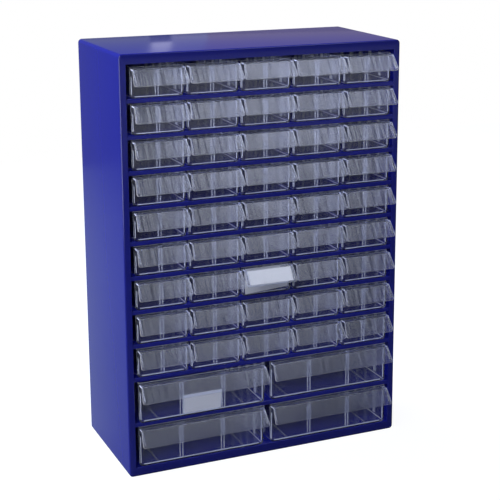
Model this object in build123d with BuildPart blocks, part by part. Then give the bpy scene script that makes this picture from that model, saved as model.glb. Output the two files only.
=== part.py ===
from build123d import *
import os
from math import hypot, radians, sin

os.makedirs("parts", exist_ok=True)

# Small-parts cabinet: a folded sheet-steel case with shelves welded in, and clear moulded drawers.
# Millimetres. X is to the right, Y to the back, Z up. The origin is the middle of the case's base,
# where it stands. The case's front plane is at Y = -case_depth / 2.

# ---- case and sheet metal ----
case_width = 306.0
case_depth = 140.0
sheet = 0.8  # thickness of the case, the shelves and the back panel
long_fold_radius = 4.0  # outer radius of the folds that run from front to back
front_fold = 1.0  # bevel where the walls turn into the front flanges
side_flange = 7.0  # width of the front flanges at the left and right
top_flange = 10.0
rear_flange = 9.0  # inward flange round the back, which the back panel is welded to
base_rise = 9.6  # top of the lowest shelf above the base
flange_step = 0.3  # the bottom front flange ends this far under the lowest shelf's top

# ---- shelves ----
small_opening = 31.2  # clear height from a shelf up to the next shelf's lip
large_opening = 44.2
top_row_gap = 2.2  # the top row has this much more height, up to the top flange
shelf_lip = 4.4  # height of the downward folds at a shelf's front and back edges
shelf_fold_radius = 1.3
bead_base = 7.4  # pressed guide beads that keep the drawers apart, width at the foot
bead_height = 2.0
bead_front = 7.0  # from the shelf's front edge to the beads
bead_back = 8.0

# ---- rows and columns ----
small_rows = 9
small_columns = 5
large_rows = 2
large_columns = 2
side_margin = 10.8  # from the case's side to the first drawer, at its rim
small_gap = 2.2  # between neighbouring drawers, at their rims
large_gap = 8.0

# ---- drawer moulding ----
front_setback = 0.5  # front wall behind the case's front plane
closing_gap = 1.8  # behind the closed drawer
rim_clearance = 0.6  # rim under the lip above it
wall = 1.2
front_wall = 1.4
floor = 1.2
draft = 0.45  # how much narrower each side is at the floor than at the rim
edge_bevel = 2.9  # outer bevel of the long bottom edges
inner_bevel = 2.2  # the same edges inside the tray
ledge_drop = 1.3  # ledge under the rim
ledge_reach = 7.4  # from the front wall to the flap's upper edge
ledge_inset = 1.0  # the flap's upper edge is this much narrower than the rim, each side
flap_reach = 10.0  # how far the flap slopes out
flap_drop = 15.0  # how far the flap slopes down
flap_spread = 0.45  # the flap's lower edge is this much wider than the rim, each side
flap_thickness = 1.4
flap_corner = 2.0  # corners cut from the flap's lower edge
cheek = 1.2  # thickness of the webs at the flap's ends
cheek_height = 6.0  # height of the webs at the front wall
stop_rise = 3.8  # stop tab above the rim, caught by the lip when the drawer is pulled out
small_stop = 14.0  # widths of the stop tabs
large_stop = 30.0

# ---- divider slots in the drawers ----
slot_width = 1.6
slot_rib = 1.0  # width of the ribs beside a slot
slot_depth = 1.1  # how far the ribs stand out of the wall
rib_base = 2.4  # locating ribs on the side walls, width at the wall
rib_below_rim = 2.0
small_side_ribs = 2
large_side_ribs = 4
skid_width = 1.6  # runner ribs under the large drawers
skid_height = 0.6
skid_end = 4.0  # from the drawer's front and back to the ends of the runner ribs
skid_place = 0.345  # distance from the middle as a share of the drawer's width

# ---- label cards ----
card_thickness = 0.4
small_card_drawer = (7, 3)  # row and column of the drawer with the folded card, counted from 1
small_card_clearance = 1.36  # from the folded card's ends to the webs of the flap
small_card_short = 0.8  # the front leaf ends this far above the flap's lower edge
small_card_left = 1.8  # lower corners of the rear leaf, above the drawer's foot
small_card_right = 5.0
large_card_width = 42.0
large_card_height = 21.0
large_card_lean = 8.0  # degrees

# ---- holes for wall screws ----
wall_hole_radius = 2.75
wall_hole_spacing_x = 229.0
wall_hole_spacing_z = 284.8

# ---- drawers that stand a little open in the rest position: name and distance ----
rest_pull = {"large_drawer_r10_left": 3.0, "small_drawer_r2_c1": 2.0}

# ---- what follows from the sizes above ----
small_pitch = small_opening + shelf_lip
large_pitch = large_opening + shelf_lip
small_floor_top = base_rise + large_rows * large_pitch  # top of the shelf under the lowest small row
case_height = small_floor_top + small_rows * small_pitch - shelf_lip + top_row_gap + top_flange
front_y = -case_depth / 2
back_y = case_depth / 2
panel_y = back_y - sheet - sheet  # the back panel's inner face
drawer_zone = case_width - 2 * side_margin
small_width = (drawer_zone - (small_columns - 1) * small_gap) / small_columns
large_width = (drawer_zone - (large_columns - 1) * large_gap) / large_columns
drawer_length = case_depth - 2 * sheet - front_setback - closing_gap
small_height = small_opening - rim_clearance
large_height = large_opening - rim_clearance
drawer_y = front_y + front_setback
flap_length = hypot(flap_reach, flap_drop)
flap_out = flap_reach / flap_length  # how much of the slant runs forward and down
flap_down = flap_drop / flap_length


def small_x(column):
    """Middle of a small drawer, columns counted from 0 at the left."""
    return (column - (small_columns - 1) / 2) * (small_width + small_gap)


def large_x(column):
    return (column - (large_columns - 1) / 2) * (large_width + large_gap)


def small_z(row):
    """Top of the shelf under a row of small drawers, rows counted from 0 at the top."""
    return small_floor_top + (small_rows - 1 - row) * small_pitch


def large_z(row):
    return base_rise + (large_rows - 1 - row) * large_pitch


# ---- case: one folded wrap with flanges at the front and the back ----
with BuildPart() as case_wrap:
    with BuildSketch(Plane.XZ.offset(-back_y)):
        with Locations((0, case_height / 2)):
            RectangleRounded(case_width, case_height, long_fold_radius)
    extrude(amount=case_depth)
    chamfer(case_wrap.faces().sort_by(Axis.Y)[0].edges(), front_fold)
    with BuildSketch(Plane.XZ.offset(-(back_y - sheet))):
        with Locations((0, case_height / 2)):
            RectangleRounded(case_width - 2 * sheet, case_height - 2 * sheet, long_fold_radius - sheet)
    extrude(amount=case_depth - 2 * sheet, mode=Mode.SUBTRACT)
    with BuildSketch(Plane.XZ.offset(-front_y)):
        with BuildLine():
            Polyline(
                (-case_width / 2 + side_flange, base_rise - flange_step),
                (case_width / 2 - side_flange, base_rise - flange_step),
                (case_width / 2 - side_flange, case_height - top_flange),
                (-case_width / 2 + side_flange, case_height - top_flange),
                close=True,
            )
        make_face()
    extrude(amount=sheet, both=True, mode=Mode.SUBTRACT)
    with BuildSketch(Plane.XZ.offset(-back_y)):
        with Locations((0, case_height / 2)):
            Rectangle(case_width - 2 * rear_flange, case_height - 2 * rear_flange)
    extrude(amount=sheet, mode=Mode.SUBTRACT)
case_wrap.part.label = "case_wrap"
export_step(case_wrap.part, "parts/case_wrap.step")

# ---- back panel: a flat sheet inside the rear flange, with four holes for wall screws ----
# its corners are clipped straight, so that they clear the rounded folds of the wrap
with BuildPart() as back_panel:
    with BuildSketch(Plane.XZ.offset(-(back_y - sheet))) as panel_outline:
        with Locations((0, case_height / 2)):
            Rectangle(case_width - 2 * sheet, case_height - 2 * sheet)
        chamfer(panel_outline.vertices(), long_fold_radius)
        with Locations((0, small_z(0) + small_opening / 2 - wall_hole_spacing_z / 2)):
            with GridLocations(wall_hole_spacing_x, wall_hole_spacing_z, 2, 2):
                Circle(wall_hole_radius, mode=Mode.SUBTRACT)
    extrude(amount=sheet)
back_panel.part.label = "back_panel"
export_step(back_panel.part, "parts/back_panel.step")


def make_shelf(top_z, bead_places, lip):
    """A sheet folded down at its front and back edges, with guide beads pressed up between drawers."""
    shelf_front = front_y + sheet
    inside = case_width - 2 * sheet
    with BuildPart() as shelf:
        with BuildSketch(Plane.YZ.offset(-inside / 2)):
            with BuildLine():
                Polyline(
                    (shelf_front, top_z - lip),
                    (shelf_front, top_z),
                    (panel_y, top_z),
                    (panel_y, top_z - shelf_lip),
                    (panel_y - sheet, top_z - shelf_lip),
                    (panel_y - sheet, top_z - sheet),
                    (shelf_front + sheet, top_z - sheet),
                    (shelf_front + sheet, top_z - lip),
                    close=True,
                )
            make_face()
        extrude(amount=inside)
        long_edges = shelf.edges().filter_by(Axis.X)
        fillet(long_edges.group_by(Axis.Z)[-1].sort_by(Axis.Y)[0], shelf_fold_radius)
        # each bead is pressed up from below: the same ridge is added on top and taken out underneath
        bead_length = panel_y - bead_back - shelf_front - bead_front
        for foot_z, end, mode in ((top_z, 0.0, Mode.ADD), (top_z - sheet, sheet, Mode.SUBTRACT)):
            with BuildSketch(Plane.XZ.offset(-(panel_y - bead_back - end))):
                for x in bead_places:
                    with BuildLine():
                        Polyline(
                            (x - bead_base / 2, foot_z),
                            (x, foot_z + bead_height),
                            (x + bead_base / 2, foot_z),
                            close=True,
                        )
                    make_face()
            extrude(amount=bead_length - 2 * end, mode=mode)
    return shelf.part


def beads_between(width, gap, columns, place):
    """A bead in the middle of each gap, and one outside each of the end drawers."""
    step = (width + gap) / 2
    return [place(0) - step] + [place(column) + step for column in range(columns)]


small_beads = beads_between(small_width, small_gap, small_columns, small_x)
large_beads = [large_x(0) + (large_width + large_gap) / 2]

with BuildPart() as small_drawer_shelves:
    for row in range(small_rows):
        add(make_shelf(small_z(row), small_beads, shelf_lip))
small_drawer_shelves.part.label = "small_drawer_shelves"
export_step(small_drawer_shelves.part, "parts/small_drawer_shelves.step")

with BuildPart() as large_drawer_shelf:
    add(make_shelf(large_z(0), large_beads, shelf_lip))
large_drawer_shelf.part.label = "large_drawer_shelf"
export_step(large_drawer_shelf.part, "parts/large_drawer_shelf.step")

with BuildPart() as base_shelf:
    add(make_shelf(large_z(1), large_beads, base_rise - long_fold_radius))
base_shelf.part.label = "base_shelf"
export_step(base_shelf.part, "parts/base_shelf.step")


def tray_outline(width, height, foot, inset, bottom, bevel):
    """Cross-section of a tray: straight sides with draft and bevelled long bottom edges."""
    half_rim = width / 2 - inset
    half_floor = half_rim - draft * (height - bottom) / (height - foot)
    with BuildSketch() as outline:
        with BuildLine():
            Polyline(
                (-half_rim, height),
                (-half_floor, bottom),
                (half_floor, bottom),
                (half_rim, height),
                close=True,
            )
        make_face()
        chamfer(outline.vertices().group_by(Axis.Y)[0], bevel)
    return outline.sketch


def make_drawer(width, height, foot, slot_places, side_ribs, stop_width):
    """Clear moulded drawer. The foot of its front wall is at Y = 0, Z = 0 and the tray runs to +Y.
    foot: height of the runner ribs that it stands on, 0 where it has none."""
    outside = tray_outline(width, height, foot, 0, foot, edge_bevel)
    inside = tray_outline(width, height, foot, wall, foot + floor, inner_bevel)
    half_inside = width / 2 - wall
    half_ledge = width / 2 - ledge_inset
    half_flap = width / 2 + flap_spread
    ledge_z = height - ledge_drop
    flap_plane = Plane((0, -ledge_reach, ledge_z), x_dir=(1, 0, 0), z_dir=(0, -flap_drop, flap_reach))
    with BuildPart() as drawer:
        # tray
        with BuildSketch(Plane.XZ.offset(-drawer_length)):
            add(outside)
        extrude(amount=drawer_length)
        with BuildSketch(Plane.XZ.offset(-(drawer_length - wall))):
            add(inside)
        extrude(amount=drawer_length - wall - front_wall, mode=Mode.SUBTRACT)
        # slots for lengthwise dividers, in the front and back walls
        with BuildSketch(Plane.XY.offset(foot + floor)):
            for place in slot_places:
                for side in (-1, 1):
                    x = place + side * (slot_width + slot_rib) / 2
                    with Locations((x, front_wall), (x, drawer_length - wall - slot_depth)):
                        Rectangle(slot_rib, slot_depth, align=(Align.CENTER, Align.MIN))
        extrude(amount=height - foot - floor - rib_below_rim)
        # locating ribs on the side walls
        rib_foot = foot + floor + inner_bevel
        with BuildSketch(Plane.XY.offset(rib_foot)):
            for number in range(side_ribs):
                y = drawer_length * (number + 1) / (side_ribs + 1)
                for side in (-1, 1):
                    with BuildLine():
                        Polyline(
                            (side * half_inside, y - rib_base / 2),
                            (side * (half_inside - slot_depth), y),
                            (side * half_inside, y + rib_base / 2),
                            close=True,
                        )
                    make_face()
        extrude(amount=height - rib_foot - rib_below_rim)
        # stop tab on the back wall
        with BuildSketch(Plane.XY.offset(height)):
            with Locations((0, drawer_length)):
                Rectangle(stop_width, wall, align=(Align.CENTER, Align.MAX))
        extrude(amount=stop_rise)
        # ledge in front of the rim
        with BuildSketch(Plane.XY.offset(ledge_z)):
            Rectangle(2 * half_ledge, ledge_reach, align=(Align.CENTER, Align.MAX))
        extrude(amount=-flap_thickness)
        # flap that slopes out and down from the ledge
        with BuildSketch(flap_plane) as flap:
            with BuildLine():
                Polyline(
                    (-half_ledge, 0),
                    (-half_flap, -flap_length),
                    (half_flap, -flap_length),
                    (half_ledge, 0),
                    close=True,
                )
            make_face()
            chamfer(flap.vertices().group_by(Axis.Y)[0], flap_corner)
        extrude(amount=-flap_thickness)
        # webs at the ends of the flap
        middle = flap_thickness / 2
        reach = flap_length - flap_corner
        web_foot = (
            -ledge_reach - flap_out * reach + flap_down * middle,
            ledge_z - flap_down * reach - flap_out * middle,
        )
        for side in (-1, 1):
            with BuildSketch(Plane.YZ.offset(side * (half_ledge - cheek / 2))):
                with BuildLine():
                    Polyline(
                        (0, ledge_z - middle),
                        (-ledge_reach + flap_down * middle, ledge_z - middle),
                        web_foot,
                        (0, ledge_z - flap_thickness - cheek_height),
                        close=True,
                    )
                make_face()
            extrude(amount=cheek / 2, both=True)
        # runner ribs under the floor
        if foot > 0:
            with BuildSketch():
                with Locations((-width * skid_place, 0), (width * skid_place, 0)):
                    with Locations((0, skid_end)):
                        Rectangle(skid_width, drawer_length - 2 * skid_end, align=(Align.CENTER, Align.MIN))
            extrude(amount=foot)
    return drawer.part


small_slots = [0.0]
large_slots = [-large_width / 6, large_width / 6]
small_drawer = make_drawer(small_width, small_height, 0.0, small_slots, small_side_ribs, small_stop)
large_drawer = make_drawer(large_width, large_height, skid_height, large_slots, large_side_ribs, large_stop)


def place_drawer(name, moulding, x, z):
    """Writes one drawer at its place in the case, pulled a little where rest_pull says so."""
    with BuildPart() as drawer:
        with Locations((x, drawer_y - rest_pull.get(name, 0.0), z)):
            add(moulding)
    drawer.part.label = name
    export_step(drawer.part, f"parts/{name}.step")
    return drawer.part


for row in range(small_rows):
    for column in range(small_columns):
        place_drawer(f"small_drawer_r{row + 1}_c{column + 1}", small_drawer, small_x(column), small_z(row))

for row in range(large_rows):
    for column, side_name in enumerate(("left", "right")):
        name = f"large_drawer_r{small_rows + row + 1}_{side_name}"
        place_drawer(name, large_drawer, large_x(column), large_z(row))

# ---- blank label cards: a folded one hangs under a small drawer's flap ----
card_row, card_column = small_card_drawer
card_name = f"small_drawer_r{card_row}_c{card_column}"
card_x = small_x(card_column - 1)
card_wall_y = drawer_y - rest_pull.get(card_name, 0.0)
card_foot = small_z(card_row - 1)
small_card_width = small_width - 2 * (ledge_inset + cheek + small_card_clearance)
ledge_under = card_foot + small_height - ledge_drop - flap_thickness
half_card = card_thickness / 2
# the front leaf lies against the flap's inner face, half a card's thickness from it
leaf_gap = (flap_thickness + half_card) / flap_down
leaf_slope = flap_out / flap_down


def leaf_y(z):
    return card_wall_y - ledge_reach + leaf_gap - leaf_slope * (card_foot + small_height - ledge_drop - z)


front_leaf_foot = card_foot + small_height - ledge_drop - flap_drop + small_card_short
with BuildPart() as small_label_card:
    with BuildSketch(Plane.YZ.offset(card_x - small_card_width / 2)):
        with BuildLine():
            Polyline(
                (leaf_y(front_leaf_foot), front_leaf_foot),
                (leaf_y(ledge_under - half_card), ledge_under - half_card),
                (card_wall_y - half_card, ledge_under - half_card),
                (card_wall_y - half_card, card_foot),
            )
        trace(line_width=card_thickness)
    extrude(amount=small_card_width)
    with BuildSketch(Plane.XZ.offset(-card_wall_y)):
        with BuildLine():
            Polyline(
                (card_x - small_card_width / 2, card_foot),
                (card_x + small_card_width / 2, card_foot),
                (card_x + small_card_width / 2, card_foot + small_card_right),
                (card_x - small_card_width / 2, card_foot + small_card_left),
                close=True,
            )
        make_face()
    extrude(amount=card_thickness, mode=Mode.SUBTRACT)
small_label_card.part.label = "small_label_card"
export_step(small_label_card.part, "parts/small_label_card.step")

# ---- the other stands in the middle of a large drawer and leans on its front wall ----
lean_y = drawer_y - rest_pull["large_drawer_r10_left"] + front_wall
lean_z = large_z(0) + skid_height + floor
lean_foot = Plane((large_x(0), lean_y + large_card_height * sin(radians(large_card_lean)), lean_z))
with BuildPart() as large_label_card:
    with BuildSketch(lean_foot.rotated((large_card_lean, 0, 0))):
        Rectangle(large_card_width, card_thickness, align=(Align.CENTER, Align.MIN))
    extrude(amount=large_card_height)
large_label_card.part.label = "large_label_card"
export_step(large_label_card.part, "parts/large_label_card.step")
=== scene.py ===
import math

import bpy
import numpy as np
from mathutils import Matrix, Vector


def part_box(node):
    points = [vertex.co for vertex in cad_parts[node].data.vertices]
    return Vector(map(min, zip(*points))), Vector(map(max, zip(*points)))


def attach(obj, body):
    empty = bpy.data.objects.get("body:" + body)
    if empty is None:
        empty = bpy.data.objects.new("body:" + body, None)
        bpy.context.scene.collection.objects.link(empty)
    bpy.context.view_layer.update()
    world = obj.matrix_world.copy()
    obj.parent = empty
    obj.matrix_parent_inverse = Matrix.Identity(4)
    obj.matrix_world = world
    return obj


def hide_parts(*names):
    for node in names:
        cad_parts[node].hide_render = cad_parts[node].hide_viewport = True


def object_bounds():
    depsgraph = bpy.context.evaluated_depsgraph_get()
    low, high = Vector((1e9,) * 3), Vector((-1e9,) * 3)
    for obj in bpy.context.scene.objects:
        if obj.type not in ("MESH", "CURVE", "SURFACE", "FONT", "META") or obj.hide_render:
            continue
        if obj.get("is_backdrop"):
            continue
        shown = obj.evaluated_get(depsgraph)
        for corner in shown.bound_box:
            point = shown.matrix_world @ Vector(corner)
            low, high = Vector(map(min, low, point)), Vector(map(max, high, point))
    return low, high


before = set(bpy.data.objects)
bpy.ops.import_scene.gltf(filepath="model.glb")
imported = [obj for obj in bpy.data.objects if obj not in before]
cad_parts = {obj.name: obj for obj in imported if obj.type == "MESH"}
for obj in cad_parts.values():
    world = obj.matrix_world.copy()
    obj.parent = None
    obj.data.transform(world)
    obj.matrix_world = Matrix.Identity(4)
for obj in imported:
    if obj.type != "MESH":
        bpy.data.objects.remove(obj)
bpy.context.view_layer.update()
scene = bpy.context.scene
mm = 0.001
print("frame loaded:", len(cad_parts), "nodes")

# edges that turn by more than this many degrees are creased, and the bevels soften them
creaseAngle = 35.0
# the material slots of a clear drawer: its walls, its moulded edges with a painted highlight, the
# flap, and its ribs with a weaker painted highlight
bodySlot, paintedHighlightSlot, flapSlot, ribPaintedHighlightSlot = range(4)


# points are an (n, 3) array in millimetres and faces are lists of point numbers; marks gives the
# material slot of each face
def meshObject(name, points, faces, marks=None, crease=creaseAngle):
    mesh = bpy.data.meshes.new(name)
    mesh.from_pydata((points * mm).tolist(), [], faces)
    mesh.polygons.foreach_set("use_smooth", [True] * len(mesh.polygons))
    if marks is not None:
        mesh.polygons.foreach_set("material_index", marks)
    mesh.set_sharp_from_angle(angle=math.radians(crease))
    mesh.update()
    obj = bpy.data.objects.new(name, mesh)
    scene.collection.objects.link(obj)
    return obj


def softEdges(obj, width, segments=2, crease=creaseAngle, material=-1):
    bevel = obj.modifiers.new("softEdges", "BEVEL")
    bevel.width = width * mm
    bevel.segments = segments
    bevel.limit_method = "ANGLE"
    bevel.angle_limit = math.radians(crease)
    bevel.harden_normals = True
    bevel.material = material


# quads between neighbours of a grid of rows x columns points, numbered row by row
def gridFaces(rows, columns, closeRows=False, closeColumns=False):
    r = np.arange(rows if closeRows else rows - 1)
    c = np.arange(columns if closeColumns else columns - 1)
    rr, cc = np.meshgrid(r, c, indexing="ij")
    r2, c2 = (rr + 1) % rows, (cc + 1) % columns
    quads = np.stack([rr * columns + cc, rr * columns + c2,
                      r2 * columns + c2, r2 * columns + cc], -1)
    return quads.reshape(-1, 4).tolist()


# several closed shells become one list of points, one of faces and one of marks
def joinShells(shells):
    points, faces, marks, count = [], [], [], 0
    for shellPoints, shellFaces, shellMarks in shells:
        points.append(shellPoints)
        faces += shifted(shellFaces, count)
        marks += shellMarks
        count += len(shellPoints)
    return np.concatenate(points), faces, marks


def shifted(faces, count):
    return [[i + count for i in face] for face in faces]


def flipped(faces):
    return [face[::-1] for face in faces]


# boxes given by the middle of each one's floor and its three sizes, all worked out as one array:
# a corner is the foot + (-1 or 1, -1 or 1, 0 or 2) x size / 2
def boxShells(feet, sizes, mark):
    corner = np.array([[-1, -1, 0], [1, -1, 0], [1, 1, 0], [-1, 1, 0],
                       [-1, -1, 2], [1, -1, 2], [1, 1, 2], [-1, 1, 2]])
    feet, sizes = np.atleast_2d(feet).astype(float), np.atleast_2d(sizes).astype(float)
    points = feet[:, None, :] + corner[None] * sizes[:, None, :] / 2
    sides = [[0, 3, 2, 1], [4, 5, 6, 7], [0, 1, 5, 4], [1, 2, 6, 5], [2, 3, 7, 6], [3, 0, 4, 7]]
    faces = [face for n in range(len(feet)) for face in shifted(sides, len(corner) * n)]
    return points.reshape(-1, 3), faces, [mark] * len(faces)


# a flat plate: the outline (y, z) stands at the two x places, and the sign of its area says which
# way round it runs
def plateShell(outline, xLow, xHigh):
    n = len(outline)
    flat = np.array(outline, float)
    points = np.concatenate([np.column_stack([np.full(n, x), flat]) for x in (xLow, xHigh)])
    ring = [[i, (i + 1) % n, (i + 1) % n + n, i + n] for i in range(n)]
    faces = ring + [list(range(n))[::-1], [i + n for i in range(n)]]
    area = np.sum(flat[:, 0] * np.roll(flat[:, 1], -1) - np.roll(flat[:, 0], -1) * flat[:, 1])
    return points, (faces if area > 0 else flipped(faces)), [bodySlot] * len(faces)


# the clear moulded drawers: sizes in millimetres, the front wall's foot is at y = 0, z = 0
drawerLook = {
    "length": 136.1,
    "wall": 1.2,
    "frontWall": 1.4,
    "floor": 1.2,
    "draft": 0.45,
    "bottomRadius": 3.6,
    "arcSteps": 8,
    "ledgeDrop": 1.3,
    "ledgeReach": 7.4,
    "ledgeInset": 1.0,
    "flapReach": 10.0,
    "flapDrop": 15.0,
    "flapSpread": 0.8,
    "flapThickness": 1.4,
    "flapCorner": 2.6,
    "cornerSteps": 8,
    "bendRadius": 1.2,
    "bendSteps": 6,
    "cheek": 1.2,
    "cheekHeight": 6.0,
    "stopRise": 3.8,
    "slotWidth": 2.0,
    "slotRib": 0.9,
    "slotDepth": 1.1,
    "ribTop": 2.0,
    "sideSlotPitch": 22.0,
    "sideSlotFirst": 21.0,
    "sideSlots": 5,
    "skidWidth": 1.6,
    "skidShort": 8.0,
    "fillet": 0.9,
    "weld": 0.15,
    "edgeSoftness": 0.40,
}
largeWidth = 138.2
# slots and skids give the x places of the divider slots and of the runner ribs under the floor
smallSize = {"width": 55.12, "height": 30.6, "foot": 0.0, "slots": [0.0], "stop": 14.0, "skids": []}
largeSize = {"width": largeWidth, "height": 43.6, "foot": 0.6, "stop": 30.0,
             "slots": [-largeWidth / 6, largeWidth / 6],
             "skids": [-0.345 * largeWidth, 0.345 * largeWidth]}


# U-shaped section: down the drafted left side, a quarter arc, along the floor, and the mirror image
def trayProfile(size, inset, bottom, radius):
    look = drawerLook
    halfRim = size["width"] / 2 - inset
    share = (size["height"] - bottom) / (size["height"] - size["foot"])
    halfFloor = halfRim - look["draft"] * share
    turn = np.linspace(0, math.pi / 2, look["arcSteps"] + 1)
    x = np.concatenate([[-halfRim], -halfFloor + radius * (1 - np.cos(turn))])
    z = np.concatenate([[size["height"]], bottom + radius * (1 - np.sin(turn))])
    return np.concatenate([x, -x[::-1]]), np.concatenate([z, z[::-1]])


# the tray is the outer U and the inner U, each carried straight from its front station to its back
# one; the end walls are the strips between each point of the U and its mirror image. The rim and
# the middle of each long inner arc get the painted highlight, a paler, half-clear plastic that
# draws them as bright lines
def trayShell(size):
    look = drawerLook
    wall = look["wall"]
    outX, outZ = trayProfile(size, 0.0, size["foot"], look["bottomRadius"])
    inX, inZ = trayProfile(size, wall, size["foot"] + look["floor"], look["bottomRadius"] - wall)
    stations = [(outX, outZ, 0.0), (outX, outZ, look["length"]),
                (inX, inZ, look["frontWall"]), (inX, inZ, look["length"] - wall)]
    points = np.concatenate([np.column_stack([x, np.full(len(x), y), z]) for x, z, y in stations])
    n = len(outX)
    along = [[i, i + 1, i + 1 + n, i + n] for i in range(n - 1)]
    across = [[i, n - 1 - i, n - 2 - i, i + 1] for i in range(n // 2 - 1)]
    faces = flipped(along) + shifted(along, 2 * n)
    faces += flipped(across) + shifted(across, n)
    faces += shifted(across, 2 * n) + flipped(shifted(across, 3 * n))
    left, right = 0, n - 1
    rim = [[left, n + left, 3 * n + left, 2 * n + left],
           [right, 2 * n + right, 3 * n + right, n + right],
           [left, 2 * n + left, 2 * n + right, right],
           [n + left, n + right, 3 * n + right, 3 * n + left]]
    # the rim faces carry the painted highlight
    marks = [bodySlot] * len(faces) + [paintedHighlightSlot] * len(rim)
    middle = look["arcSteps"] // 2
    for face in (middle, middle + 1, n - 2 - middle, n - 3 - middle):
        marks[len(along) + face] = paintedHighlightSlot
    return points, faces + flipped(rim), marks


# ledge and flap are one bent sheet: a line forward, an arc, a line down the slope, with the
# thickness set off square to it; the half width grows along the slope and is cut back by a quarter
# circle at the lower corners
def flapShell(size):
    look = drawerLook
    slope = math.atan2(look["flapDrop"], look["flapReach"])
    slant = math.hypot(look["flapReach"], look["flapDrop"])
    radius, corner = look["bendRadius"], look["flapCorner"]
    turn = np.linspace(0, slope, look["bendSteps"])
    tail = slant - corner + corner * np.sin(np.linspace(0, math.pi / 2, look["cornerSteps"]))
    bendStart = -(look["ledgeReach"] - radius * math.tan(slope / 2))
    y = np.concatenate([[look["weld"]], bendStart - radius * np.sin(turn),
                        -look["ledgeReach"] - tail * math.cos(slope)])
    z = np.concatenate([[0.0], -radius * (1 - np.cos(turn)), -tail * math.sin(slope)])
    angle = np.concatenate([[0.0], turn, np.full(len(tail), slope)])
    down = np.concatenate([np.zeros(1 + len(turn)), tail])
    intoCorner = np.clip(down - (slant - corner), 0, corner)
    halfLedge = size["width"] / 2 - look["ledgeInset"]
    halfEnd = size["width"] / 2 + look["flapSpread"]
    half = halfLedge + (halfEnd - halfLedge) * down / slant
    half = half - (corner - np.sqrt(np.maximum(corner ** 2 - intoCorner ** 2, 0)))
    top = size["height"] - look["ledgeDrop"]
    across = np.array([-1.0, -0.5, 0.0, 0.5, 1.0])
    rows, count = len(y), len(across)
    around = 2 * count
    sheets = []
    for depth in (0.0, look["flapThickness"]):
        yy = np.repeat((y + depth * np.sin(angle))[:, None], count, 1)
        zz = np.repeat((top + z - depth * np.cos(angle))[:, None], count, 1)
        sheets.append(np.stack([half[:, None] * across[None], yy, zz], -1))
    ring = np.concatenate([sheets[0], sheets[1][:, ::-1]], 1)
    faces = gridFaces(rows, around, closeColumns=True)
    marks = np.full((rows - 1, around), flapSlot)
    # the flap's two side edges, and below its lower end, carry the painted highlight: a paler
    # plastic drawn as bright lines
    marks[:, [count - 1, around - 1]] = paintedHighlightSlot
    caps = [[k, k + 1, around - 2 - k, around - 1 - k] for k in range(count - 1)]
    faces += flipped(caps) + shifted(caps, (rows - 1) * around)
    capMarks = [flapSlot] * len(caps) + [paintedHighlightSlot] * len(caps)
    return ring.reshape(-1, 3), flipped(faces), marks.ravel().tolist() + capMarks


# the web under each end of the flap is a flat plate with four corners: at the wall under the ledge,
# at the bend, inside the flap near its lower corner, and back at the wall
def webShells(size):
    look = drawerLook
    slant = math.hypot(look["flapReach"], look["flapDrop"])
    out, fall = look["flapReach"] / slant, look["flapDrop"] / slant
    ledgeZ = size["height"] - look["ledgeDrop"]
    middle, cheek = look["flapThickness"] / 2, look["cheek"]
    reach = slant - look["flapCorner"]
    outline = [(look["weld"], ledgeZ - middle),
               (-look["ledgeReach"] + fall * middle, ledgeZ - middle),
               (-look["ledgeReach"] - out * reach + fall * middle,
                ledgeZ - fall * reach - out * middle),
               (look["weld"], ledgeZ - look["flapThickness"] - look["cheekHeight"])]
    half = size["width"] / 2 - look["ledgeInset"] - cheek / 2
    return [plateShell(outline, s * half - cheek / 2, s * half + cheek / 2) for s in (-1, 1)]


# slot ribs in the end walls, rib pairs on the side walls, the stop tab, the runner ribs and the
# fillets in the front corners are boxes, each sunk a little into the wall that it stands on
def ribShells(size):
    look = drawerLook
    weld, wall, length = look["weld"], look["wall"], look["length"]
    floorTop = size["foot"] + look["floor"]
    ribHeight = size["height"] - floorTop - look["ribTop"] + weld
    offset = (look["slotWidth"] + look["slotRib"]) / 2
    depth = look["slotDepth"] + weld
    endPlaces = (look["frontWall"] - weld + depth / 2, length - wall + weld - depth / 2)
    feet, sizes = [], []
    for place in size["slots"]:
        for side in (-offset, offset):
            for y in endPlaces:
                feet.append((place + side, y, floorTop - weld))
                sizes.append((look["slotRib"], depth, ribHeight))
    sideX = size["width"] / 2 - wall - look["draft"] / 2 - look["slotDepth"] / 2
    sideFoot = floorTop + look["bottomRadius"] - wall
    sideHeight = size["height"] - sideFoot - look["ribTop"]
    for number in range(look["sideSlots"]):
        y = look["sideSlotFirst"] + number * look["sideSlotPitch"]
        for side in (-1, 1):
            for pair in (-offset, offset):
                feet.append((side * sideX, y + pair, sideFoot))
                sizes.append((look["slotDepth"] + look["draft"], look["slotRib"], sideHeight))
    feet.append((0.0, length - wall / 2, size["height"] - weld))
    sizes.append((size["stop"], wall - 2 * weld, look["stopRise"] + weld))
    for x in size["skids"]:
        feet.append((x, length / 2, 0.0))
        sizes.append((look["skidWidth"], length - look["skidShort"], size["foot"] + weld))
    fillet = look["fillet"]
    innerHalf = size["width"] / 2 - wall - look["draft"]
    filletY = look["frontWall"] - weld + fillet / 2
    cornerX = innerHalf + weld - fillet / 2
    filletFeet = [(-cornerX, filletY, sideFoot), (cornerX, filletY, sideFoot),
                  (0.0, filletY, floorTop - weld)]
    upright = (fillet, fillet, sideHeight)
    filletSizes = [upright, upright, (2 * (innerHalf - look["bottomRadius"]), fillet, fillet)]
    # the ribs carry a weaker painted highlight, and the corner fillets the full painted highlight,
    # so both show as pale lines
    return [boxShells(feet, sizes, ribPaintedHighlightSlot), boxShells(filletFeet, filletSizes, paintedHighlightSlot)]


def drawerMesh(size):
    return joinShells([trayShell(size), flapShell(size), *webShells(size), *ribShells(size)])


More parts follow.
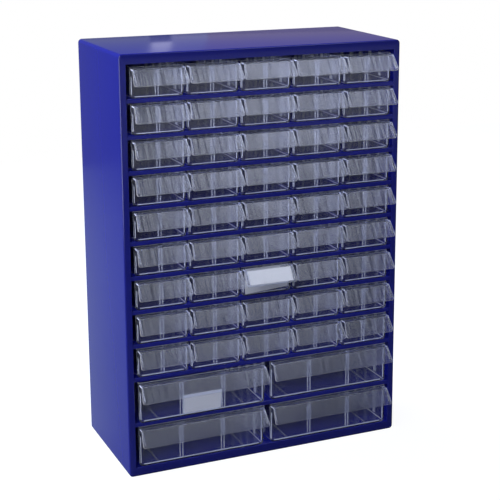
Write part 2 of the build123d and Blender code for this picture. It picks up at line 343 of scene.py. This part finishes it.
# the case is one folded sheet: its section is a ring of loops, each a rounded rectangle at its own
# depth
caseLook = {
    "width": 306.0,
    "depth": 140.0,
    "height": 435.0,
    "sheet": 0.8,
    "longFold": 4.0,
    "frontFold": 1.7,
    "sideFlange": 7.0,
    "topFlange": 10.0,
    "bottomFlange": 9.3,
    "rearFlange": 9.0,
    "leastCorner": 0.4,
    "cornerSteps": 8,
    "foldSteps": 6,
    "edgeSoftness": 0.18,
    "crease": 50.0,
}


# one loop: four straight sides joined by quarter circles, anticlockwise as seen from the front
def roundedLoop(left, right, low, high, radius, y):
    turn = np.linspace(0, math.pi / 2, caseLook["cornerSteps"] + 1)
    centres = [(right - radius, low + radius, -math.pi / 2), (right - radius, high - radius, 0.0),
               (left + radius, high - radius, math.pi / 2), (left + radius, low + radius, math.pi)]
    x = np.concatenate([cx + radius * np.cos(turn + start) for cx, cz, start in centres])
    z = np.concatenate([cz + radius * np.sin(turn + start) for cx, cz, start in centres])
    return np.column_stack([x, np.full(len(x), y), z])


# the case's outline drawn in by inset on all four sides, with its corners that much tighter
def insetLoop(inset, y):
    look = caseLook
    half = look["width"] / 2 - inset
    radius = max(look["longFold"] - inset, look["leastCorner"])
    return roundedLoop(-half, half, inset, look["height"] - inset, radius, y)


# the loops run from the front opening's edge round the outside to the rear edge, and back on the
# inside; a fold is a quarter circle, along which falls goes from 1 to 0 and rises from 0 to 1
def makeCase():
    look = caseLook
    front, back = -look["depth"] / 2, look["depth"] / 2
    sheet, fold = look["sheet"], look["frontFold"]
    inner = fold - sheet
    halfOpen = look["width"] / 2 - look["sideFlange"]
    openTop = look["height"] - look["topFlange"]
    turn = np.linspace(0, math.pi / 2, look["foldSteps"])
    falls, rises = [1 - math.sin(a) for a in turn], [1 - math.cos(a) for a in turn]
    opening = [roundedLoop(-halfOpen, halfOpen, look["bottomFlange"], openTop,
                           look["leastCorner"], y) for y in (front, front + sheet)]
    outerFront = [insetLoop(fold * f, front + fold * r) for f, r in zip(falls, rises)]
    outerRear = [insetLoop(fold * r, back - fold * f) for f, r in zip(falls, rises)]
    rearEdge = [insetLoop(look["rearFlange"], y) for y in (back, back - sheet)]
    innerRear = [insetLoop(sheet + inner * f, back - sheet - inner * r)
                 for f, r in zip(falls, rises)]
    innerFront = [insetLoop(sheet + inner * r, front + sheet + inner * f)
                  for f, r in zip(falls, rises)]
    loops = [opening[0], *outerFront, *outerRear, *rearEdge, *innerRear, *innerFront, opening[1]]
    points = np.stack(loops)
    faces = gridFaces(len(loops), points.shape[1], closeRows=True, closeColumns=True)
    obj = meshObject("painted_case", points.reshape(-1, 3), flipped(faces), crease=look["crease"])
    softEdges(obj, look["edgeSoftness"], crease=look["crease"])
    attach(obj, "case")
    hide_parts("case_wrap")
    return obj


caseObject = makeCase()
print("case made")

# each drawer stands where its CAD node does: on the node's floor, with the tray's back at its back
drawerObjects = {}
for size, prefix in ((smallSize, "small_drawer"), (largeSize, "large_drawer")):
    points, faces, marks = drawerMesh(size)
    for node in sorted(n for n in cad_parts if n.startswith(prefix + "_r")):
        low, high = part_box(node)
        middle = np.array([(low.x + high.x) / 2, high.y, low.z]) / mm
        place = middle - np.array([0.0, drawerLook["length"], 0.0])
        obj = meshObject("clear_" + node, points + place, faces, marks)
        # the bevel faces take the painted highlight material, which draws every softened edge as a
        # bright line
        softEdges(obj, drawerLook["edgeSoftness"], material=paintedHighlightSlot)
        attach(obj, node)
        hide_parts(node)
        drawerObjects[node] = obj
print("drawers made:", len(drawerObjects))

grainInputs = ("Coarse Scale", "Fine Scale", "Fine Share")
coarseDetail, fineDetail = 4.0, 2.0


# a shader group shared by the paint, the plastic and the card: two noises of different scale give a
# soft mottling and a fine grain
def makeGrainGroup():
    group = bpy.data.node_groups.new("surfaceGrain", "ShaderNodeTree")
    for name in grainInputs:
        group.interface.new_socket(name, in_out="INPUT", socket_type="NodeSocketFloat")
    group.interface.new_socket("Value", in_out="OUTPUT", socket_type="NodeSocketFloat")
    nodes, links = group.nodes, group.links
    inside, outside = nodes.new("NodeGroupInput"), nodes.new("NodeGroupOutput")
    coords = nodes.new("ShaderNodeTexCoord")
    coarse, fine = nodes.new("ShaderNodeTexNoise"), nodes.new("ShaderNodeTexNoise")
    coarse.inputs["Detail"].default_value = coarseDetail
    fine.inputs["Detail"].default_value = fineDetail
    mix = nodes.new("ShaderNodeMix")
    links.new(coords.outputs["Object"], coarse.inputs["Vector"])
    links.new(coords.outputs["Object"], fine.inputs["Vector"])
    links.new(inside.outputs["Coarse Scale"], coarse.inputs["Scale"])
    links.new(inside.outputs["Fine Scale"], fine.inputs["Scale"])
    links.new(inside.outputs["Fine Share"], mix.inputs["Factor"])
    links.new(coarse.outputs["Fac"], mix.inputs["A"])
    links.new(fine.outputs["Fac"], mix.inputs["B"])
    links.new(mix.outputs["Result"], outside.inputs["Value"])
    return group


grainGroup = makeGrainGroup()


def newMaterial(name):
    material = bpy.data.materials.new(name)
    material.use_nodes = True
    nodes, links = material.node_tree.nodes, material.node_tree.links
    return material, nodes, links, nodes["Principled BSDF"]


# values are the coarse scale, the fine scale and the fine noise's share
def addGrain(nodes, values):
    grain = nodes.new("ShaderNodeGroup")
    grain.node_tree = grainGroup
    for name, value in zip(grainInputs, values):
        grain.inputs[name].default_value = value
    return grain.outputs["Value"]


def mapRange(nodes, links, source, low, high, fromLow=0.3, fromHigh=0.7):
    node = nodes.new("ShaderNodeMapRange")
    node.inputs["From Min"].default_value = fromLow
    node.inputs["From Max"].default_value = fromHigh
    node.inputs["To Min"].default_value = low
    node.inputs["To Max"].default_value = high
    links.new(source, node.inputs["Value"])
    return node.outputs["Result"]


def mixColours(nodes, links, factor, first, second):
    node = nodes.new("ShaderNodeMix")
    node.data_type = "RGBA"
    node.inputs["A"].default_value = (*first, 1.0)
    node.inputs["B"].default_value = (*second, 1.0)
    links.new(factor, node.inputs["Factor"])
    return node.outputs["Result"]


# distance is in millimetres
def addBump(nodes, links, height, strength, distance):
    bump = nodes.new("ShaderNodeBump")
    bump.inputs["Strength"].default_value = strength
    bump.inputs["Distance"].default_value = distance * mm
    links.new(height, bump.inputs["Height"])
    return bump.outputs["Normal"]


# peel is the strength and the depth of the paint's fine waviness
paintLook = {
    "deep": (0.010, 0.013, 0.215),
    "light": (0.013, 0.018, 0.265),
    "grain": (6.0, 260.0, 0.25),
    "roughness": (0.10, 0.15),
    "specular": 0.42,
    "peelGrain": (420.0, 900.0, 0.3),
    "peel": (0.06, 0.1),
}


def makePaint():
    look = paintLook
    material, nodes, links, shader = newMaterial("bluePaint")
    grain = addGrain(nodes, look["grain"])
    colour = mixColours(nodes, links, grain, look["deep"], look["light"])
    links.new(colour, shader.inputs["Base Color"])
    links.new(mapRange(nodes, links, grain, *look["roughness"]), shader.inputs["Roughness"])
    peel = addGrain(nodes, look["peelGrain"])
    links.new(addBump(nodes, links, peel, *look["peel"]), shader.inputs["Normal"])
    shader.inputs["Specular IOR Level"].default_value = look["specular"]
    return material


plasticLook = {
    "colour": (0.94, 0.95, 1.0),
    "ior": 1.57,
    "grain": (30.0, 500.0, 0.3),
    "roughness": (0.03, 0.09),
    "transmission": 0.994,
    "shadowTint": (0.955, 0.96, 0.985),
}
flapLook = {
    **plasticLook,
    "colour": (0.84, 0.88, 1.0),
    "roughness": (0.12, 0.24),
    "transmission": 0.975,
    "shadowTint": (0.95, 0.955, 0.98),
    "streak": (1.0, 0.55),
    "streakScale": (230.0, 12.0, 12.0),
}
# painted highlight: the moulded edges are paler and only half clear, so they show as bright lines
# in place of light caught in the plastic
paintedHighlightLook = {
    **plasticLook,
    "colour": (0.84, 0.87, 1.0),
    "roughness": (0.15, 0.28),
    "transmission": 0.50,
    "shadowTint": (0.78, 0.80, 0.90),
}
# the ribs get a weaker painted highlight, paler and less clear than the walls
ribPaintedHighlightLook = {**paintedHighlightLook, "transmission": 0.80, "shadowTint": (0.90, 0.92, 0.96)}


# lamps reach through the clear walls, because shadow rays pass through a tinted transparent shader.
# The flaps have a satin roughness and upright streaks, made by a bump of noise that is squeezed
# along X; streak is the bump's strength and depth. Ribs and moulded edges let less light through
# and are paler, a painted highlight
def makePlastic(name, look):
    material, nodes, links, shader = newMaterial(name)
    shader.inputs["Base Color"].default_value = (*look["colour"], 1.0)
    shader.inputs["IOR"].default_value = look["ior"]
    shader.inputs["Transmission Weight"].default_value = look["transmission"]
    grain = addGrain(nodes, look["grain"])
    links.new(mapRange(nodes, links, grain, *look["roughness"]), shader.inputs["Roughness"])
    if "streak" in look:
        coords, squeeze = nodes.new("ShaderNodeTexCoord"), nodes.new("ShaderNodeMapping")
        noise = nodes.new("ShaderNodeTexNoise")
        squeeze.inputs["Scale"].default_value = look["streakScale"]
        noise.inputs["Scale"].default_value = 1.0
        links.new(coords.outputs["Object"], squeeze.inputs["Vector"])
        links.new(squeeze.outputs["Vector"], noise.inputs["Vector"])
        streaks = addBump(nodes, links, noise.outputs["Fac"], *look["streak"])
        links.new(streaks, shader.inputs["Normal"])
    path, clear = nodes.new("ShaderNodeLightPath"), nodes.new("ShaderNodeBsdfTransparent")
    mix = nodes.new("ShaderNodeMixShader")
    clear.inputs["Color"].default_value = (*look["shadowTint"], 1.0)
    links.new(path.outputs["Is Shadow Ray"], mix.inputs["Fac"])
    links.new(shader.outputs["BSDF"], mix.inputs[1])
    links.new(clear.outputs["BSDF"], mix.inputs[2])
    links.new(mix.outputs["Shader"], nodes["Material Output"].inputs["Surface"])
    return material


# tooth is the strength and the depth of the paper's bump
cardLook = {
    "white": (0.93, 0.93, 0.92),
    "shade": (0.87, 0.88, 0.88),
    "grain": (60.0, 1800.0, 0.5),
    "roughness": 0.75,
    "tooth": (0.15, 0.05),
}


def makeCard():
    look = cardLook
    material, nodes, links, shader = newMaterial("paperCard")
    grain = addGrain(nodes, look["grain"])
    colour = mixColours(nodes, links, grain, look["white"], look["shade"])
    links.new(colour, shader.inputs["Base Color"])
    shader.inputs["Roughness"].default_value = look["roughness"]
    links.new(addBump(nodes, links, grain, *look["tooth"]), shader.inputs["Normal"])
    return material


def setMaterials(obj, *materials):
    slots = obj.data.materials
    slots.clear()
    for material in materials:
        slots.append(material)


paint, card = makePaint(), makeCard()
plastic = makePlastic("clearPlastic", plasticLook)
# the edge and rib materials paint highlights onto the clear drawers as paler, less clear plastic
plasticPaintedHighlight = makePlastic("clearPlasticPaintedHighlight", paintedHighlightLook)
plasticFlap = makePlastic("clearPlasticFlap", flapLook)
plasticRibPaintedHighlight = makePlastic("clearPlasticRibPaintedHighlight", ribPaintedHighlightLook)
setMaterials(caseObject, paint)
for node in ("back_panel", "small_drawer_shelves", "large_drawer_shelf", "base_shelf"):
    setMaterials(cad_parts[node], paint)
# clearing the slots would forget the marks, so they are read first and written back
for obj in drawerObjects.values():
    indices = np.empty(len(obj.data.polygons), int)
    obj.data.polygons.foreach_get("material_index", indices)
    setMaterials(obj, plastic, plasticPaintedHighlight, plasticFlap, plasticRibPaintedHighlight)
    obj.data.polygons.foreach_set("material_index", indices)
for node in ("small_label_card", "large_label_card"):
    setMaterials(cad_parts[node], card)
print("materials set")

# the floor ends 1.5 m behind the object; behind it the camera sees a white world, and shine sees a
# dim one, of which mirrorShare is the white. The floor is darker in front of the object than behind
# it, which only its mirror images show, and floorTurn gives the y places in metres where that
# changes. floorBounces and worldBounces are explained at seenWhite
stageLook = {
    "floorFront": (0.06, 0.065, 0.12),
    "floorBack": (0.14, 0.17, 0.23),
    "floorTurn": (-0.6, 0.1),
    "floorHalf": 1500.0,
    "floorGlow": 0.95,
    "floorRoughness": 0.9,
    "floorBounces": 0.5,
    "world": (0.55, 0.65, 1.0),
    "worldStrength": 0.07,
    "worldBounces": 1.5,
    "mirrorShare": 0.06,
}


# how much of the white a ray sees: all where it comes from the camera, or through clear plastic
# without having been thrown back in it, and mirrorShare where it is a mirror image; otherwise
# nothing. A ray wasn't thrown back when its depth, less the passages in it, is under allowed, and
# the world counts one bounce more than the floor
def seenWhite(nodes, links, allowed):
    path = nodes.new("ShaderNodeLightPath")
    steps = [nodes.new("ShaderNodeMath") for _ in range(5)]
    for step, operation in zip(steps, ("ADD", "SUBTRACT", "LESS_THAN", "MULTIPLY", "MULTIPLY_ADD")):
        step.operation = operation
    direct, thrown, straight, both, mirrored = steps
    links.new(path.outputs["Is Camera Ray"], direct.inputs[0])
    links.new(path.outputs["Is Transmission Ray"], direct.inputs[1])
    links.new(path.outputs["Ray Depth"], thrown.inputs[0])
    links.new(path.outputs["Transmission Depth"], thrown.inputs[1])
    links.new(thrown.outputs["Value"], straight.inputs[0])
    straight.inputs[1].default_value = allowed
    links.new(direct.outputs["Value"], both.inputs[0])
    links.new(straight.outputs["Value"], both.inputs[1])
    links.new(path.outputs["Is Glossy Ray"], mirrored.inputs[0])
    mirrored.inputs[1].default_value = stageLook["mirrorShare"]
    links.new(both.outputs["Value"], mirrored.inputs[2])
    return mirrored.outputs["Value"]


def makeFloor():
    look = stageLook
    half = look["floorHalf"]
    points = np.array([[-half, -half, 0], [half, -half, 0],
                       [half, half, 0], [-half, half, 0]], float)
    floor = meshObject("floor", points, [[0, 1, 2, 3]])
    material, nodes, links, shader = newMaterial("floorWhite")
    coords, split = nodes.new("ShaderNodeTexCoord"), nodes.new("ShaderNodeSeparateXYZ")
    links.new(coords.outputs["Object"], split.inputs["Vector"])
    behind = mapRange(nodes, links, split.outputs["Y"], 0.0, 1.0, *look["floorTurn"])
    colour = mixColours(nodes, links, behind, look["floorFront"], look["floorBack"])
    links.new(colour, shader.inputs["Base Color"])
    shader.inputs["Roughness"].default_value = look["floorRoughness"]
    shader.inputs["Specular IOR Level"].default_value = 0.0
    glow, add = nodes.new("ShaderNodeEmission"), nodes.new("ShaderNodeAddShader")
    scale = nodes.new("ShaderNodeMath")
    scale.operation = "MULTIPLY"
    scale.inputs[1].default_value = look["floorGlow"]
    links.new(seenWhite(nodes, links, look["floorBounces"]), scale.inputs[0])
    links.new(scale.outputs["Value"], glow.inputs["Strength"])
    links.new(shader.outputs["BSDF"], add.inputs[0])
    links.new(glow.outputs["Emission"], add.inputs[1])
    links.new(add.outputs["Shader"], nodes["Material Output"].inputs["Surface"])
    floor.data.materials.append(material)
    floor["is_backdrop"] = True


def makeWorld():
    look = stageLook
    world = bpy.data.worlds.new("studio")
    scene.world = world
    world.use_nodes = True
    nodes, links = world.node_tree.nodes, world.node_tree.links
    background, white = nodes["Background"], nodes.new("ShaderNodeBackground")
    mix = nodes.new("ShaderNodeMixShader")
    background.inputs["Color"].default_value = (*look["world"], 1.0)
    background.inputs["Strength"].default_value = look["worldStrength"]
    white.inputs["Color"].default_value = (1.0, 1.0, 1.0, 1.0)
    white.inputs["Strength"].default_value = 1.0
    links.new(seenWhite(nodes, links, look["worldBounces"]), mix.inputs["Fac"])
    links.new(background.outputs["Background"], mix.inputs[1])
    links.new(white.outputs["Background"], mix.inputs[2])
    links.new(mix.outputs["Shader"], nodes["World Output"].inputs["Surface"])


makeFloor()
makeWorld()

# place and aim in metres; glow is the lamp's own brightness, and its watts are glow x area x pi;
# a lamp whose shine is False doesn't show as a mirror image, and one whose lights is False shows
# only as one
lamps = {
    "softBox": {"place": (0.55, -0.95, 1.35), "aim": (0.10, -0.08, 0.22), "size": (0.9, 0.8),
                "glow": 1.0, "tint": (0.82, 0.86, 1.0), "hotSpot": True},
    "fill": {"place": (-0.9, -0.7, 0.9), "aim": (0.0, 0.0, 0.22), "size": (0.8, 0.8),
             "glow": 3.6, "tint": (0.92, 0.94, 1.0)},
    "sideFill": {"place": (-1.6, 0.3, 0.25), "aim": (0.0, 0.0, 0.15), "size": (1.2, 0.5),
                 "glow": 9.6, "shine": False},
    "overhead": {"place": (-0.5, 0.6, 1.5), "aim": (-0.1, 0.0, 0.4), "size": (1.2, 1.2),
                 "glow": 7.6, "shine": False},
    "leftCard": {"place": (-0.95, -0.70, 0.20), "aim": (-0.15, -0.07, 0.22), "size": (1.2, 0.4),
                 "glow": 4.0, "tint": (0.90, 0.94, 1.0), "lights": False},
    "frontCard": {"place": (0.95, -2.2, -0.05), "aim": (0.95, 0.0, -0.05), "size": (1.8, 0.8),
                  "glow": 0.36, "tint": (0.80, 0.84, 1.0)},
    "backCard": {"place": (0.23, 1.6, 0.70), "aim": (0.23, 0.0, 0.70), "size": (0.395, 0.9),
                 "glow": 0.10, "tint": (0.80, 0.88, 1.0)},
    "nearCard": {"place": (0.454, 1.6, 0.895), "aim": (0.454, 0.0, 0.895), "size": (0.053, 0.5),
                 "glow": 0.60, "tint": (0.85, 0.85, 1.0)},
    "midCard": {"place": (0.527, 1.6, 0.70), "aim": (0.527, 0.0, 0.70), "size": (0.093, 0.9),
                "glow": 0.19, "tint": (0.78, 0.78, 1.0)},
    "farCard": {"place": (1.287, 1.6, 0.70), "aim": (1.287, 0.0, 0.70), "size": (1.427, 0.9),
                "glow": 0.14, "tint": (1.0, 0.72, 0.70)},
}
# the soft box glows as (base + rise x (z - level)) x (1 - spread x (x - middle) squared), with
# neither factor under nothing and the result never under least
hotSpot = {"base": 1.17, "rise": 6.2, "level": 1.2, "spread": 8.6, "middle": 0.575, "least": 0.12}


def addHotSpot(light):
    light.use_nodes = True
    nodes, links = light.node_tree.nodes, light.node_tree.links
    place, split = nodes.new("ShaderNodeNewGeometry"), nodes.new("ShaderNodeSeparateXYZ")
    links.new(place.outputs["Position"], split.inputs["Vector"])

    def calculate(operation, first, second):
        node = nodes.new("ShaderNodeMath")
        node.operation = operation
        for socket, value in zip(node.inputs, (first, second)):
            if isinstance(value, float):
                socket.default_value = value
            else:
                links.new(value, socket)
        return node.outputs["Value"]

    above = calculate("SUBTRACT", split.outputs["Z"], hotSpot["level"])
    upward = calculate("ADD", calculate("MULTIPLY", above, hotSpot["rise"]), hotSpot["base"])
    aside = calculate("SUBTRACT", split.outputs["X"], hotSpot["middle"])
    square = calculate("MULTIPLY", aside, aside)
    sideways = calculate("SUBTRACT", 1.0, calculate("MULTIPLY", square, hotSpot["spread"]))
    factors = [calculate("MAXIMUM", value, 0.0) for value in (upward, sideways)]
    bright = calculate("MULTIPLY", *factors)
    links.new(calculate("MAXIMUM", bright, hotSpot["least"]), nodes["Emission"].inputs["Strength"])


def makeLamps():
    for name, values in lamps.items():
        light = bpy.data.lights.new(name, "AREA")
        light.shape = "RECTANGLE"
        light.size, light.size_y = values["size"]
        light.energy = values["glow"] * light.size * light.size_y * math.pi
        light.color = values.get("tint", (1.0, 1.0, 1.0))
        if values.get("hotSpot"):
            addHotSpot(light)
        obj = bpy.data.objects.new(name, light)
        scene.collection.objects.link(obj)
        obj.location = values["place"]
        toward = Vector(values["aim"]) - Vector(values["place"])
        obj.rotation_euler = toward.to_track_quat("-Z", "Y").to_euler()
        obj.visible_glossy = values.get("shine", True)
        obj.visible_diffuse = values.get("lights", True)


makeLamps()
print("stage and lamps set")

# the camera is fitted to the photograph: place in metres; in degrees, yaw to the right of +Y, pitch
# downwards, and roll, which lifts the camera's right side; focalPixels and centre in pixels of a
# square picture that is frameWidth wide, with centre where the camera's axis meets it
cameraLook = {
    "place": (-0.5257, -1.2772, 0.5978),
    "yaw": 25.029,
    "pitch": 13.228,
    "roll": 0.189,
    "focalPixels": 1323.3,
    "centre": (300.0, 190.0),
    "frameWidth": 500.0,
    "sensor": 36.0,
}


def makeCamera():
    look = cameraLook
    yaw, pitch, roll = (math.radians(look[k]) for k in ("yaw", "pitch", "roll"))
    ahead = Vector((math.sin(yaw) * math.cos(pitch), math.cos(yaw) * math.cos(pitch),
                    -math.sin(pitch)))
    right = Vector((math.cos(yaw), -math.sin(yaw), 0.0))
    up = right.cross(ahead)
    turnedRight = math.cos(roll) * right + math.sin(roll) * up
    turnedUp = -math.sin(roll) * right + math.cos(roll) * up
    camera = bpy.data.objects.new("camera", bpy.data.cameras.new("camera"))
    scene.collection.objects.link(camera)
    turn = Matrix((turnedRight, turnedUp, -ahead)).transposed().to_4x4()
    camera.matrix_world = Matrix.Translation(Vector(look["place"])) @ turn
    half = look["frameWidth"] / 2
    camera.data.sensor_width = look["sensor"]
    camera.data.lens = look["focalPixels"] / look["frameWidth"] * look["sensor"]
    camera.data.shift_x = (half - look["centre"][0]) / look["frameWidth"]
    camera.data.shift_y = (look["centre"][1] - half) / look["frameWidth"]
    scene.camera = camera


makeCamera()

# a ray crosses many clear walls on its way through a row of drawers
clearBounces, clearLayers = 24, 64
scene.view_settings.view_transform = "Standard"
scene.cycles.max_bounces = clearBounces
scene.cycles.transmission_bounces = clearBounces
scene.cycles.transparent_max_bounces = clearLayers
print("camera set")

low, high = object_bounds()
